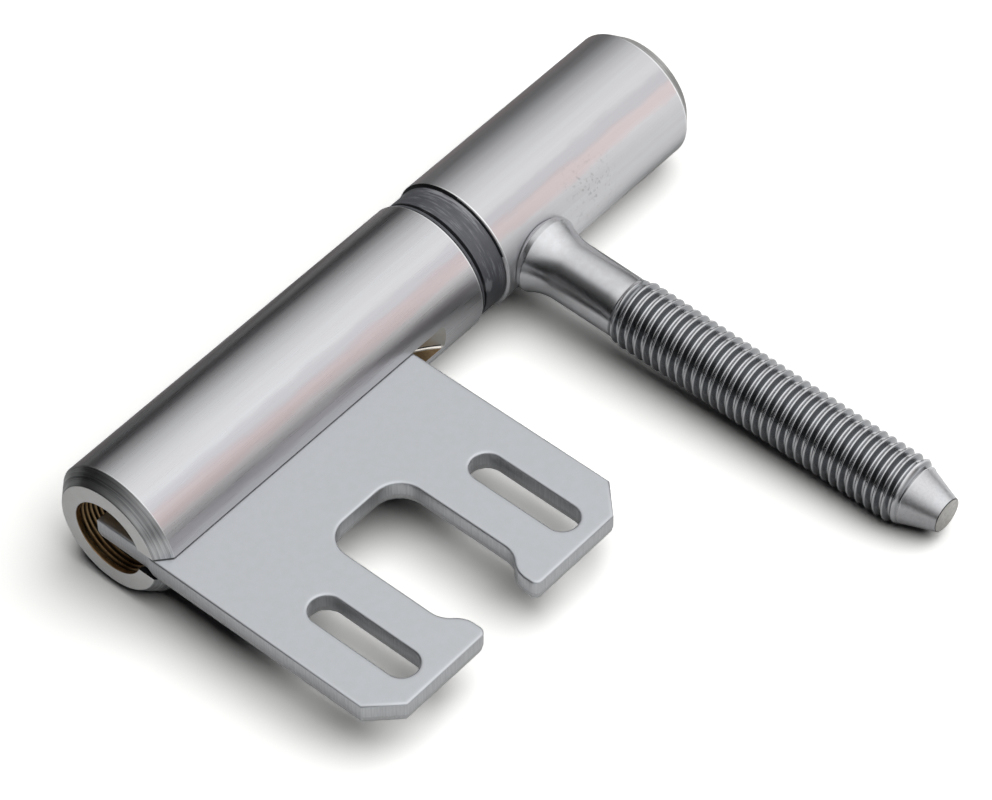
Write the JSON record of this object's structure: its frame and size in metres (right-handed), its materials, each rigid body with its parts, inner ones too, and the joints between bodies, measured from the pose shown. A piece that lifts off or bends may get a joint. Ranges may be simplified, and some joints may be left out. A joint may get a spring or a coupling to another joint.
{
  "type": "paumelle hinge",
  "caption": "Lift-off door hinge: a slit barrel holds a forked, slotted frame leaf, and a barrel with a threaded stud for the door turns on a pin in a collared bush",
  "frame": {"origin": "on the pin axis, on the face of the frame knuckle that carries the bush", "axes": "+X along the pin from the door half to the open foot of the frame half, +Y from the pin out along the leaf, +Z square to the leaf, up as the hinge lies on a table"},
  "size_m": [0.075, 0.0619, 0.014],
  "materials": {
    "zinc_barrel": "satin clear-passivated zinc",
    "zinc_leaf": "matte clear-passivated zinc",
    "zinc_stud": "satin clear-passivated zinc",
    "pin_steel": "ground, oiled",
    "bush_polyamide": "moulded, dark grey"
  },
  "bodies": {
    "frame": {"frame_knuckle": "zinc_barrel", "frame_leaf": "zinc_leaf"},
    "bearing": {"bearing_bush": "bush_polyamide"},
    "door": {"hinge_pin": "pin_steel", "door_knuckle": "zinc_barrel", "door_stud": "zinc_stud"}
  },
  "joints": [
    {"name": "lift_off", "type": "slide", "parent": "frame", "child": "bearing", "axis": [-1, 0, 0], "range_m": [0, 0.03]},
    {"name": "swing", "type": "hinge", "parent": "bearing", "child": "door", "pos_m": [0, 0, 0], "axis": [1, 0, 0], "continuous": true}
  ]
}
